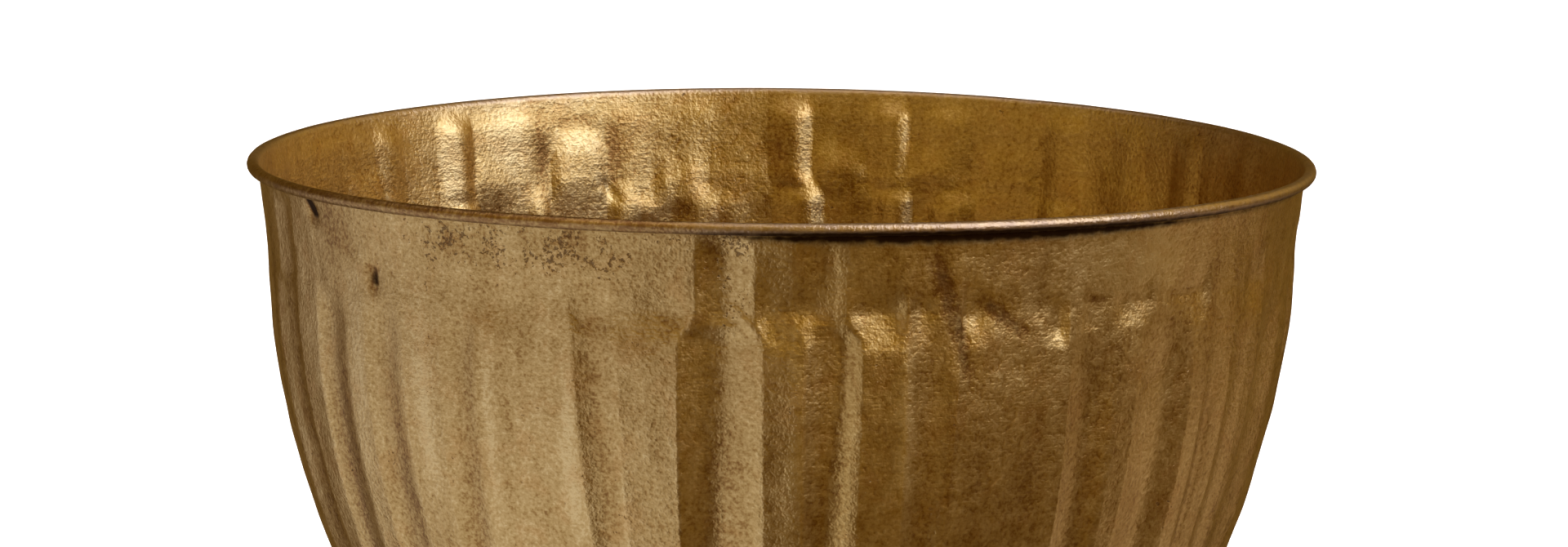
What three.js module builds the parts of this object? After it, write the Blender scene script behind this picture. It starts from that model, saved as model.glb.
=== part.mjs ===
// Hammered brass planter pot: a fluted sheet wall with a wired rim, a brazed-in base disc and rubber feet.
// Millimetres, +Z up. The origin is the middle of the footprint, on the surface that the pot stands on.
// Azimuths are in degrees about +Z, counted from +X; -90 is the front.
import * as THREE from "three";

// ---- Driving dimensions ----
const RIM_RADIUS = 180; // outside of the rolled rim
const HEIGHT = 260; // from the table to the highest point of the rim
const SHEET = 0.8; // thickness of the wall's sheet
const GAP = 0.3; // clearance between pieces that touch or are brazed
const WIRE_RADIUS = 1.0; // iron wire inside the rolled rim
const RIM_WAVE = 1.1; // the hand-rolled rim stands this much high at front and back, and low at the sides
const WAVE_START = 40; // the wall is free of that wave up to this height

const NECK_RADIUS = 173.1; // the narrowest ring of the neck, under the flared rim
const NECK_DROP = 28; // its depth under the rim wire
const NECK_POWER = 1.2; // 1 is a cone, and more makes the neck flare out later
const SHOULDER_RADIUS = 173.0; // the ring where the flutes begin in full
const SHOULDER_DROP = 34;
const BELLY_DROP = 19.9; // the belly has drawn in this much ...
const BELLY_SPAN = 93.6; // ... this far below the shoulder
const BELLY_POWER = 1.87; // how fast it draws in from there

const FLUTE_DEPTH = 3.2; // depth of a plain flute at the shoulder
const NECK_SHARE = 0.3; // share of that depth left on the neck
const NECK_FLUTE_TOP = 4; // the faint flutes of the neck begin at this depth ...
const NECK_FLUTE_RISE = 14; // ... and reach that share this much lower
const FLUTE_END_DROP = 246; // the flutes have run out here, just above the bottom bend
const FLUTE_FADE = 60; // height over which they do
const CREASE_DEPTH = 1.3; // crease pressed in all round just above the shoulder
const CREASE_FALL = 4; // height of its steep upper side
const CREASE_RISE = 12; // height of the ledge below it, over which the flutes also reach their full depth

const FOOT_HEIGHT = 2.5; // thickness of a rubber foot
const FOOT_RADIUS = 6;
const FOOT_COUNT = 4;
const FLANGE_WIDTH = 15; // the wall's lower edge, turned in flat under the base disc
const BEND_RADIUS = 9; // outside of the bend between the wall and that flange
const BASE_THICKNESS = 1.2;

// ---- Flutes: grooves in the wall ----
// Azimuths of one edge, the bottom and the other edge; share of the plain depth
const FLUTES = [
  [-165.0, -159.6, -156.2, 0.65],
  [-151.0, -147.6, -144.9, 0.65],
  [-141.0, -137.4, -135.0, 0.6],
  [-128.6, -125.7, -124.4, 0.6],
  [-112.4, -109.7, -107.8, 0.68],
  [-100.8, -96.6, -91.9, 1.2],
  [-87.4, -83.3, -81.4, 1.0],
  [-76.8, -73.4, -70.8, 0.45],
  [-57.8, -54.7, -51.0, 0.95],
  [-48.0, -43.4, -39.4, 1.05],
  [-36.6, -35.1, -33.9, 0.4],
  [-31.5, -29.2, -27.2, 0.5],
  [-24.3, -21.5, -17.5, 0.9],
  [-13.0, -9.5, -6.0, 1.0],
  [-1.5, 2.0, 5.4, 0.9],
  [9.6, 13.0, 16.2, 0.8],
  [20.0, 22.4, 25.0, 0.6],
  [32.0, 34.7, 37.5, 0.8],
  [42.0, 44.8, 47.5, 0.6],
  [51.6, 54.6, 57.5, 0.9],
  [65.8, 69.0, 72.2, 0.8],
  [73.8, 75.6, 78.8, 1.0],
  [84.8, 87.0, 91.0, 1.0],
  [97.6, 100.2, 103.0, 0.5],
  [107.4, 109.6, 111.6, 0.6],
  [119.0, 120.6, 122.6, 0.6],
  [129.0, 131.6, 135.0, 0.9],
  [140.5, 143.1, 145.3, 0.6],
  [152.4, 155.6, 159.0, 0.9],
  [166.0, 169.4, 172.8, 1.0],
  [179.0, 182.2, 185.6, 1.0],
];
const COLUMNS_PER_FLUTE = 4; // its two edges, its bottom, and the middle of the land that follows

const rad = THREE.MathUtils.degToRad;
const clamp01 = (t) => THREE.MathUtils.clamp(t, 0, 1);
const point = (x, y) => new THREE.Vector2(x, y);

// Evenly spaced numbers, with both ends.
function along(from, to, steps) {
  return Array.from({ length: steps + 1 }, (_, i) => from + ((to - from) * i) / steps);
}

// A point on a circle about (x, y).
function polar(x, y, radius, degrees) {
  return point(x + radius * Math.cos(rad(degrees)), y + radius * Math.sin(rad(degrees)));
}

// ---- Heights and radii that follow from them ----
const BEAD_RADIUS = WIRE_RADIUS + GAP + SHEET; // outside of the roll
const RIM_CENTRE = RIM_RADIUS - BEAD_RADIUS;
const RIM_Z = HEIGHT - BEAD_RADIUS - RIM_WAVE;
const WALL_TOP_RADIUS = RIM_CENTRE - WIRE_RADIUS - GAP; // outside of the sheet where it meets the wire
const FLANGE_Z = FOOT_HEIGHT + GAP; // underside of the turned-in flange

// Outside radius of the wall, measured over the lands, at a depth below the rim wire.
function wallRadius(drop) {
  if (drop < NECK_DROP) {
    return NECK_RADIUS + (WALL_TOP_RADIUS - NECK_RADIUS) * (1 - drop / NECK_DROP) ** NECK_POWER;
  }
  const below = Math.max(0, drop - SHOULDER_DROP) / BELLY_SPAN;
  return SHOULDER_RADIUS - BELLY_DROP * below ** BELLY_POWER;
}

// How deep the flutes are at that depth, as a share of FLUTE_DEPTH: faint on the neck, full on the belly.
function fluteStrength(drop) {
  const neck = NECK_SHARE * clamp01((drop - NECK_FLUTE_TOP) / NECK_FLUTE_RISE);
  const belly = (1 - NECK_SHARE) * clamp01((drop - NECK_DROP) / CREASE_RISE);
  const runOut = clamp01((FLUTE_END_DROP - drop) / FLUTE_FADE);
  return (neck + belly) * runOut * (wallRadius(drop) / SHOULDER_RADIUS);
}

// The crease above the shoulder: a short steep side under the neck and a longer ledge below it.
function creaseShape(drop) {
  const fall = clamp01((drop - (NECK_DROP - CREASE_FALL)) / CREASE_FALL);
  const rise = clamp01((drop - NECK_DROP) / CREASE_RISE);
  return fall * (1 - rise);
}

// ---- Sweeping a section round the pot ----
// One column of vertices for each entry: its azimuth, and how deep it lies in its flute,
// from 0 on a land.
const columns = FLUTES.flatMap(([start, bottom, end, depth], i) => {
  const following = FLUTES[(i + 1) % FLUTES.length][0];
  const nextStart = following > end ? following : following + 360;
  return [
    { azimuth: start, depth: 0 },
    { azimuth: bottom, depth },
    { azimuth: end, depth: 0 },
    { azimuth: (end + nextStart) / 2, depth: 0 },
  ];
});

// Turns a closed section round the axis. Its x is the radius and its y the height,
// and it runs counter-clockwise.
function sweep(section, fluted) {
  const count = FLUTES.length * COLUMNS_PER_FLUTE;
  const geometry = new THREE.LatheGeometry(section, count);
  const position = geometry.getAttribute("position");
  for (let i = 0; i <= count; i++) {
    const { azimuth, depth } = columns[i % count];
    const wave = -RIM_WAVE * Math.cos(2 * rad(azimuth));
    section.forEach(({ x, y }, j) => {
      const drop = RIM_Z - y;
      const pressed = fluted ? FLUTE_DEPTH * fluteStrength(drop) + CREASE_DEPTH * creaseShape(drop) : 0;
      const radius = x - pressed * depth;
      const lift = wave * clamp01((y - WAVE_START) / (RIM_Z - WAVE_START));
      const vertex = i * section.length + j;
      position.setXYZ(vertex, radius * Math.cos(rad(azimuth)), radius * Math.sin(rad(azimuth)), y + lift);
    });
  }
  geometry.computeVertexNormals();
  return geometry;
}

// ---- Materials ----
function finish(name, color, roughness, metalness) {
  return new THREE.MeshStandardMaterial({ name, color, roughness, metalness });
}
const agedBrass = finish("aged_brass", 0x8c6d3c, 0.42, 1);
const brazeBrass = finish("braze", 0xa88748, 0.5, 1);
const iron = finish("iron_wire", 0x4a4643, 0.6, 1);
const rubber = finish("rubber", 0x1d1b1a, 0.85, 0);

const pot = new THREE.Group();

function add(name, geometry, material) {
  const mesh = new THREE.Mesh(geometry, material);
  mesh.name = name;
  pot.add(mesh);
  return mesh;
}

// ---- Wall: one sheet, from the turned-in flange up to the curl round the rim wire ----
const CREASE_DROPS = [NECK_DROP - CREASE_FALL, NECK_DROP, NECK_DROP + CREASE_RISE];
const WALL_DROPS = [9, 18, ...CREASE_DROPS, 60, 90, 125, 165, 205]; // depths of the wall's rows of vertices
const LEAN = 39; // the wall's lean at its foot, in degrees, where the bend takes over
const BEND_TOP = FLANGE_Z + BEND_RADIUS * (1 - Math.sin(rad(LEAN)));
const WALL_END_DROP = RIM_Z - BEND_TOP;
const BEND_X = wallRadius(WALL_END_DROP) - BEND_RADIUS * Math.cos(rad(LEAN)); // middle of the bend
const BEND_Y = FLANGE_Z + BEND_RADIUS;
const CURL_START = 180; // the sheet comes up the inner side of the wire ...
const CURL_END = -120; // ... and goes over it, down and in under it

const BEND_STEPS = 3;
const CURL_STEPS = 6;

function wallSection() {
  const floorRadius = BEND_RADIUS - SHEET;
  const curlRadius = BEAD_RADIUS - SHEET;
  const outside = [...WALL_DROPS, WALL_END_DROP].map((drop) => point(wallRadius(drop), RIM_Z - drop));
  const inside = outside.map((p) => point(p.x - SHEET, p.y)).reverse();
  const bend = along(-LEAN, -90, BEND_STEPS).slice(1);
  const bendOutside = bend.map((a) => polar(BEND_X, BEND_Y, BEND_RADIUS, a));
  const bendInside = bend.map((a) => polar(BEND_X, BEND_Y, floorRadius, a)).reverse();
  const curl = along(CURL_START, CURL_END, CURL_STEPS);
  const curlOver = curl.map((a) => polar(RIM_CENTRE, RIM_Z, BEAD_RADIUS, a));
  const curlUnder = curl.map((a) => polar(RIM_CENTRE, RIM_Z, curlRadius, a)).reverse();
  const clockwise = [
    ...curlOver,
    ...curlUnder,
    ...outside,
    ...bendOutside,
    point(BEND_X - FLANGE_WIDTH, FLANGE_Z),
    point(BEND_X - FLANGE_WIDTH, FLANGE_Z + SHEET),
    ...bendInside,
    ...inside,
    curlOver[0].clone(),
  ];
  return clockwise.reverse();
}
add("wall", sweep(wallSection(), true), agedBrass);

// ---- Rim wire: an iron ring that the sheet is rolled round ----
const WIRE_STEPS = 6;
const wireSection = along(0, 360, WIRE_STEPS).map((a) => polar(RIM_CENTRE, RIM_Z, WIRE_RADIUS, a));
add("rim_wire", sweep(wireSection, false), iron);

// ---- Base: a disc lying on the flange ----
const ROUND_STEPS = 64;
const BASE_Z = FLANGE_Z + SHEET + GAP; // underside of the disc
const BASE_RADIUS = BEND_X - GAP;
const disc = new THREE.CylinderGeometry(BASE_RADIUS, BASE_RADIUS, BASE_THICKNESS, ROUND_STEPS);
disc.rotateX(Math.PI / 2);
disc.translate(0, 0, BASE_Z + BASE_THICKNESS / 2);
add("base_disc", disc, agedBrass);

// ---- Braze: the ring that fills the corner between the disc's edge and the bend, and seals the pot ----
const BRAZE_END = -48; // how far it runs up the inside of the bend, in degrees
function brazeSection() {
  const underside = along(-90, BRAZE_END, 2).map((a) => polar(BEND_X, BEND_Y, BEND_RADIUS - SHEET - GAP, a));
  return [...underside, point(BEND_X, BASE_Z + BASE_THICKNESS), underside[0]];
}
const braze = new THREE.LatheGeometry(brazeSection(), ROUND_STEPS);
braze.rotateX(Math.PI / 2);
add("base_braze", braze, brazeBrass);

// ---- Feet: rubber discs stuck under the flange ----
const FOOT_CIRCLE = BEND_X - FLANGE_WIDTH / 2;
const FOOT_STEPS = 20;
for (let i = 0; i < FOOT_COUNT; i++) {
  const turn = rad(45 + (360 / FOOT_COUNT) * i);
  const foot = new THREE.CylinderGeometry(FOOT_RADIUS, FOOT_RADIUS, FOOT_HEIGHT, FOOT_STEPS);
  foot.rotateX(Math.PI / 2);
  const mesh = add(`foot_${i + 1}`, foot, rubber);
  mesh.position.set(FOOT_CIRCLE * Math.cos(turn), FOOT_CIRCLE * Math.sin(turn), FOOT_HEIGHT / 2);
}

export default pot;
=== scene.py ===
"""Aged, hand-pressed brass planter pot: the looks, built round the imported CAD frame.

Shapes are worked out in millimetres and turned into metres when a mesh is made.
An azimuth is in degrees about +Z from +X, so -90 is the front. A drop is a depth under the rim wire.
"""
import math

import bpy
import numpy as np
from mathutils import Euler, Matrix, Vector, noise


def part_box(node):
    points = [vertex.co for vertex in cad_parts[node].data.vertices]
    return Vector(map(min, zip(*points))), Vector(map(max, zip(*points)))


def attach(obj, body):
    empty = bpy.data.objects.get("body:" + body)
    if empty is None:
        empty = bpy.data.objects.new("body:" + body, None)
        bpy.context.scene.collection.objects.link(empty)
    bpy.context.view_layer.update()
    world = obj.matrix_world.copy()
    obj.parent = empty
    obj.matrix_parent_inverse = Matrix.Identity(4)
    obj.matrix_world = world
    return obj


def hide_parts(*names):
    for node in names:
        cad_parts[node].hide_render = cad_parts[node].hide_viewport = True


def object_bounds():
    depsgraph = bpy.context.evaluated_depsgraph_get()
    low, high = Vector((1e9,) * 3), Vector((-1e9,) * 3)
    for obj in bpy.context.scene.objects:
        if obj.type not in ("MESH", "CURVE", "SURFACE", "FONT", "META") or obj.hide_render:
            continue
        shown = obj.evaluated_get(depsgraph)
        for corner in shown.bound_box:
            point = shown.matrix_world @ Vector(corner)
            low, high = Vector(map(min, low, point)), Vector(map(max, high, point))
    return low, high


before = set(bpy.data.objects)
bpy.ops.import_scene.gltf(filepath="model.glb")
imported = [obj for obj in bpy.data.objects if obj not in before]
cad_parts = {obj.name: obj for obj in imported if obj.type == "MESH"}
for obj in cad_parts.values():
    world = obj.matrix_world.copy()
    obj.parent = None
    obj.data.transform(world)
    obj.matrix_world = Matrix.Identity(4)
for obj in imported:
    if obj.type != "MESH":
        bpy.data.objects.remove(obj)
CAD_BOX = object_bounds()

MM = 0.001

# ---- Driving dimensions, as in the CAD, in mm ----
SHEET = 0.8  # thickness of the wall
CLEARANCE = 0.3  # between the sheet and the rim wire, and between the base's pieces
WIRE_RADIUS = 1.0
RIM_WAVE = 1.1  # the rim stands this much high at front and back, and low at the sides
WAVE_START = 40  # the wall is free of that wave up to this height
NECK_RADIUS = 173.1
NECK_DROP = 28  # depth of the crease between neck and shoulder
NECK_POWER = 1.2
SHOULDER_RADIUS = 173.0
SHOULDER_DROP = 34
BELLY_DROP = 19.9
BELLY_SPAN = 93.6
BELLY_POWER = 1.87
FLUTE_DEPTH = 3.2
FLUTE_END_DROP = 246
FLUTE_FADE = 60
BEND_RADIUS = 9
LEAN = 39  # lean of the wall where the bottom bend begins, in degrees
FLANGE_WIDTH = 15

# ---- What follows from them and from the frame ----
RIM_RADIUS = min(abs(corner[i]) for corner in CAD_BOX for i in (0, 1)) / MM
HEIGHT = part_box("wall")[1].z / MM
FLANGE_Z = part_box("wall")[0].z / MM
BEAD_RADIUS = WIRE_RADIUS + CLEARANCE + SHEET
RIM_CENTRE = RIM_RADIUS - BEAD_RADIUS
RIM_Z = HEIGHT - BEAD_RADIUS - RIM_WAVE
WALL_TOP_RADIUS = RIM_CENTRE - WIRE_RADIUS - CLEARANCE
BEND_TOP = FLANGE_Z + BEND_RADIUS * (1 - math.sin(math.radians(LEAN)))
WALL_END_DROP = RIM_Z - BEND_TOP

# ---- Flutes: grooves pressed by hand, nearly as in the CAD ----
# Azimuths at the shoulder of one edge, the bottom and the other edge; how far each of them moves on the neck,
# and how far by LOWER_DROP; share of the plain depth; share of that depth on the neck; how far below the crease
# it is full.
LOWER_DROP = 111
SHOULDER_LINE = 41
STILL = (0, 0, 0)
FLUTES = [
    ((-165.0, -159.6, -156.2), (2.5, 0.5, 0.0), (1.5, 1.3, 1.0), 0.65, 0.60, 8),
    ((-151.0, -148.2, -144.7), STILL, (-0.5, -0.4, 0.1), 0.6, 0.05, 10),
    ((-141.0, -138.0, -134.8), STILL, (-0.3, -0.7, 0.1), 0.5, 0.05, 18),
    ((-129.0, -126.7, -124.1), STILL, (-0.6, -0.5, -0.3), 0.45, 0.05, 12),
    ((-112.6, -109.9, -107.4), STILL, (1.2, 0.9, 0.3), 0.52, 0.00, 8),
    ((-100.8, -96.0, -91.9), (2.0, 0.3, -0.9), (-0.3, -1.2, 0.1), 1.2, 0.65, 6),
    ((-87.4, -83.3, -81.4), (-1.3, -2.1, -1.8), (0.0, -1.7, -0.1), 1.0, 0.40, 8),
    ((-76.8, -73.4, -70.8), STILL, (0.6, -0.2, -0.6), 0.45, 0.05, 15),
    ((-57.8, -54.7, -51.0), STILL, (0.5, 0.2, 0.2), 0.95, 0.05, 30),
    ((-48.0, -43.4, -39.4), STILL, (0.0, 0.4, 0.6), 1.05, 0.05, 25),
    ((-36.6, -35.1, -33.6), STILL, (0.2, 0.1, 0.0), 0.3, 0.05, 50),
    ((-31.5, -29.2, -27.2), STILL, (0.2, -0.3, 0.2), 0.35, 0.05, 50),
    ((-24.3, -21.0, -17.0), STILL, (-1.5, -1.6, 0.0), 0.7, 0.10, 20),
    ((-13.0, -9.5, -6.0), STILL, (0.8, -0.3, 0.5), 1.0, 0.10, 20),
    ((-1.5, 2.0, 5.4), STILL, (-0.2, 0.2, -0.7), 0.9, 0.10, 15),
    ((9.6, 13.0, 16.2), STILL, (0.5, 0.5, 0.1), 0.8, 0.20, 12),
    ((20.0, 22.4, 25.0), STILL, (0.3, 0.9, 0.6), 0.6, 0.40, 10),
    ((32.0, 34.7, 37.5), STILL, (-0.6, 0.1, 0.3), 0.8, 0.50, 10),
    ((42.0, 44.8, 47.5), STILL, (0.4, 0.6, 0.2), 0.6, 0.30, 12),
    ((51.6, 54.6, 57.5), STILL, (-0.8, -0.4, 0.2), 0.9, 0.50, 10),
    ((65.8, 69.0, 72.2), (0.8, 0.8, 0.8), (0.6, 0.8, 0.4), 0.8, 0.45, 10),
    ((73.8, 75.6, 78.8), (0.7, 0.7, 0.7), (0.2, -0.4, -0.8), 1.0, 0.85, 6),
    ((84.8, 87.0, 91.0), (1.6, 1.5, 0.6), (-1.0, -1.2, -1.0), 1.0, 0.90, 6),
    ((97.6, 100.2, 103.4), STILL, (0.7, 1.1, 1.4), 0.5, 0.25, 10),
    ((107.4, 109.6, 111.6), STILL, (-0.4, -2.0, -1.6), 0.6, 0.15, 8),
    ((119.0, 120.6, 122.6), STILL, (1.2, 1.4, 1.0), 0.6, 0.10, 10),
    ((129.0, 131.6, 135.0), (0.3, 0.1, -0.1), (-0.6, -0.8, -0.5), 0.8, 0.90, 6),
    ((140.5, 143.3, 145.5), STILL, (0.4, 0.7, 1.0), 0.6, 0.50, 8),
    ((152.4, 155.6, 159.0), STILL, (0.8, 0.1, 0.3), 0.9, 0.20, 12),
    ((166.0, 169.4, 172.8), STILL, (-0.4, 0.5, -0.2), 1.0, 0.15, 15),
    ((179.0, 182.2, 185.6), STILL, (0.3, -0.6, 0.4), 1.0, 0.20, 12),
]
LAND_FLATNESS = 0.8  # 0 leaves the lands between the flutes round, and 1 makes them flat
NECK_FLUTE_TOP = 1  # the flutes' marks on the neck begin at this drop ...
NECK_FLUTE_FULL = 8  # ... and are full here


def smoothstep(low, high, value):
    t = np.clip((value - low) / (high - low), 0, 1)
    return t * t * (3 - 2 * t)


def ramp(low, high, value):
    return np.clip((value - low) / (high - low), 0, 1)


def wall_radius(drop):
    """Outside radius over the lands."""
    neck = NECK_RADIUS + (WALL_TOP_RADIUS - NECK_RADIUS) * np.clip(1 - drop / NECK_DROP, 0, 1) ** NECK_POWER
    neck = neck + (SHOULDER_RADIUS - NECK_RADIUS) * smoothstep(NECK_DROP - 6, SHOULDER_DROP + 6, drop)
    below = np.maximum(0, drop - SHOULDER_DROP) / BELLY_SPAN
    return neck - BELLY_DROP * below**BELLY_POWER


# ---- The grid that every wall surface uses: rows are drops, columns run along the flutes ----
COLUMN_WIDTH = 0.72  # about how far the columns are apart, in degrees
EDGE_POLISH_AND_SHEEN = 0.7  # how much brighter the lands are beside the grooves: rubbed brass, and a painted highlight
SIDE_CURVE = 1.5  # 1 makes a groove's sides straight, and more rounds its bottom and keeps its edges sharp


def side_steps(width):
    """Shares of a groove's side from its edge to its bottom, closer together at the edge."""
    count = max(3, round(width / COLUMN_WIDTH))
    return (np.arange(count) / count) ** 1.3


def land_steps(width):
    """Shares of a land's width, closer together at its ends."""
    count = max(5, round(width / COLUMN_WIDTH))
    return 0.5 - 0.5 * np.cos(np.pi * np.arange(count) / count)


def column_lines(drop):
    """Azimuth of every column at the given drops, how far the flutes press it in, in mm, and how near it is to
    a groove's bottom: from 0 to 1, and less than 0 where a land beside a groove is made brighter: rubbed brass
    and a painted highlight."""
    low = np.clip((drop - SHOULDER_LINE) / (LOWER_DROP - SHOULDER_LINE), 0, 2)[:, None]
    high = 1 - smoothstep(NECK_DROP - 1, SHOULDER_LINE - 4, drop)[:, None]
    neck_fade = smoothstep(NECK_FLUTE_TOP, NECK_FLUTE_FULL, drop)
    neck_fade = (neck_fade * (1 - smoothstep(NECK_DROP, SHOULDER_LINE + 3, drop)))[:, None]
    run_out = ramp(FLUTE_END_DROP, FLUTE_END_DROP - FLUTE_FADE, drop)
    foot = (run_out * wall_radius(drop) / SHOULDER_RADIUS)[:, None]
    azimuths, reliefs, shares = [], [], []
    for i, (lines, on_neck, lower, depth, neck_share, onset) in enumerate(FLUTES):
        start, bottom, end = (a + b * high + c * low for a, b, c in zip(lines, on_neck, lower))
        after = FLUTES[(i + 1) % len(FLUTES)]
        next_start = after[0][0] + after[1][0] * high + after[2][0] * low
        next_start = next_start + (360 if after[0][0] < lines[2] else 0)
        inwards = side_steps(lines[1] - lines[0])
        outwards = 1 - side_steps(lines[2] - lines[1])[::-1]
        outwards = outwards - outwards[0]
        across = land_steps((after[0][0] - lines[2]) % 360)
        azimuths.append(start + (bottom - start) * inwards)
        azimuths.append(bottom + (end - bottom) * outwards)
        azimuths.append(end + (next_start - end) * across)
        belly = smoothstep(NECK_DROP - 2, NECK_DROP + 4 + onset, drop)[:, None] * foot
        strength = np.maximum(neck_share * neck_fade, belly)
        falling = 1 - (1 - inwards) ** SIDE_CURVE
        rising = 1 - outwards**SIDE_CURVE
        reliefs.append(FLUTE_DEPTH * depth * strength * falling)
        reliefs.append(FLUTE_DEPTH * depth * strength * rising)
        half_land = np.radians(next_start - end) / 2
        flattened = LAND_FLATNESS * wall_radius(drop)[:, None] * (1 - np.cos(half_land))
        reliefs.append(flattened * belly * (1 - (2 * across - 1) ** 2))
        shares.append(strength * falling)
        shares.append(strength * rising)
        shares.append(-EDGE_POLISH_AND_SHEEN * belly * (2 * across - 1) ** 4)
    return np.hstack(azimuths), np.hstack(reliefs), np.hstack(shares)


WALL_ROWS = np.concatenate([
    np.arange(3.0, 24, 2.1),
    np.arange(24.0, 44, 1.1),
    np.arange(44.0, 120, 2.6),
    np.arange(120.0, WALL_END_DROP - 2, 6.0),
    [WALL_END_DROP],
])
AZIMUTH, FLUTE_RELIEF, GROOVE_SHARE = column_lines(WALL_ROWS)
DROP = np.repeat(WALL_ROWS[:, None], AZIMUTH.shape[1], axis=1)


def angle_from(azimuth, middle):
    """Signed angle between azimuths, from -180 to 180."""
    return (azimuth - middle + 180) % 360 - 180


def noise_field(size, seed, stretch=1.0):
    """Smooth noise over the grid, about -1 to 1. Its features have the given size in mm, and are as many times
    higher as stretch says."""
    radius = wall_radius(DROP)
    angle = np.radians(AZIMUTH)
    points = np.stack([radius * np.cos(angle), radius * np.sin(angle), -DROP / stretch], axis=-1)
    values = [noise.noise(Vector(p / size + seed)) for p in points.reshape(-1, 3)]
    return np.array(values).reshape(DROP.shape)


# ---- Ledges: below the neck the sheet steps in, and comes out again as a slope that faces up ----
LEDGE_FALL = 13.0  # height of the gentle slope above a ledge, over which the sheet goes in
EDGE_STRAY = 2.2  # how far the ledges' edges stray up and down
EDGE_STRAY_SIZE = 8.0
# Azimuth and half width in degrees; drops of the top and the foot, and depth, in mm
LEDGES = [
    (-89.0, 3.2, 27.5, 38, 1.0),
    (-89.6, 0.8, 35.0, 40, 0.9),
    (-79.6, 2.6, 27.5, 39, 2.0),
    (-74.8, 1.1, 28.0, 38, 1.3),
    (-69.2, 1.5, 29.0, 39, 1.7),
    (-61.0, 1.2, 28.0, 35, 0.9),
    (-59.3, 1.0, 34.0, 41, 1.6),
    (-55.2, 0.9, 33.0, 37, 0.9),
    (-49.2, 2.5, 29.0, 35, 0.85),
    (-39.8, 3.0, 28.0, 37, 1.1),
    (-26.0, 2.0, 28.0, 37, 1.0),
    (-8.0, 3.0, 28.0, 38, 1.0),
    (17.0, 3.0, 28.0, 38, 1.2),
    (45.0, 3.6, 28.0, 38, 0.9),
    (61.5, 3.4, 28.0, 38, 1.0),
    (72.2, 2.7, 28.0, 38, 1.4),
    (83.0, 2.9, 28.0, 38, 1.2),
    (102.4, 2.5, 31.0, 42, 1.2),
    (127.2, 2.3, 27.5, 38, 0.9),
    (148.0, 3.0, 28.0, 38, 1.0),
    (172.0, 3.0, 28.0, 38, 1.2),
    (-102.0, 2.3, 27.5, 37, 0.8),
    (-110.2, 2.2, 29.0, 38, 0.8),
    (-120.0, 2.6, 28.0, 38, 0.3),
    (-152.0, 2.6, 28.0, 38, 0.4),
]


def ledge_relief():
    stray = EDGE_STRAY * noise_field(EDGE_STRAY_SIZE, 3)
    total = np.zeros_like(DROP)
    for azimuth, half, top, foot, depth in LEDGES:
        inside = smoothstep(1.15, 0.75, np.abs(angle_from(AZIMUTH, azimuth)) / half)
        fall = smoothstep(top - LEDGE_FALL, top, DROP + stray)
        rise = ramp(foot, top, DROP + stray)
        total = np.maximum(total, depth * inside * fall * rise)
    return total
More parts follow.
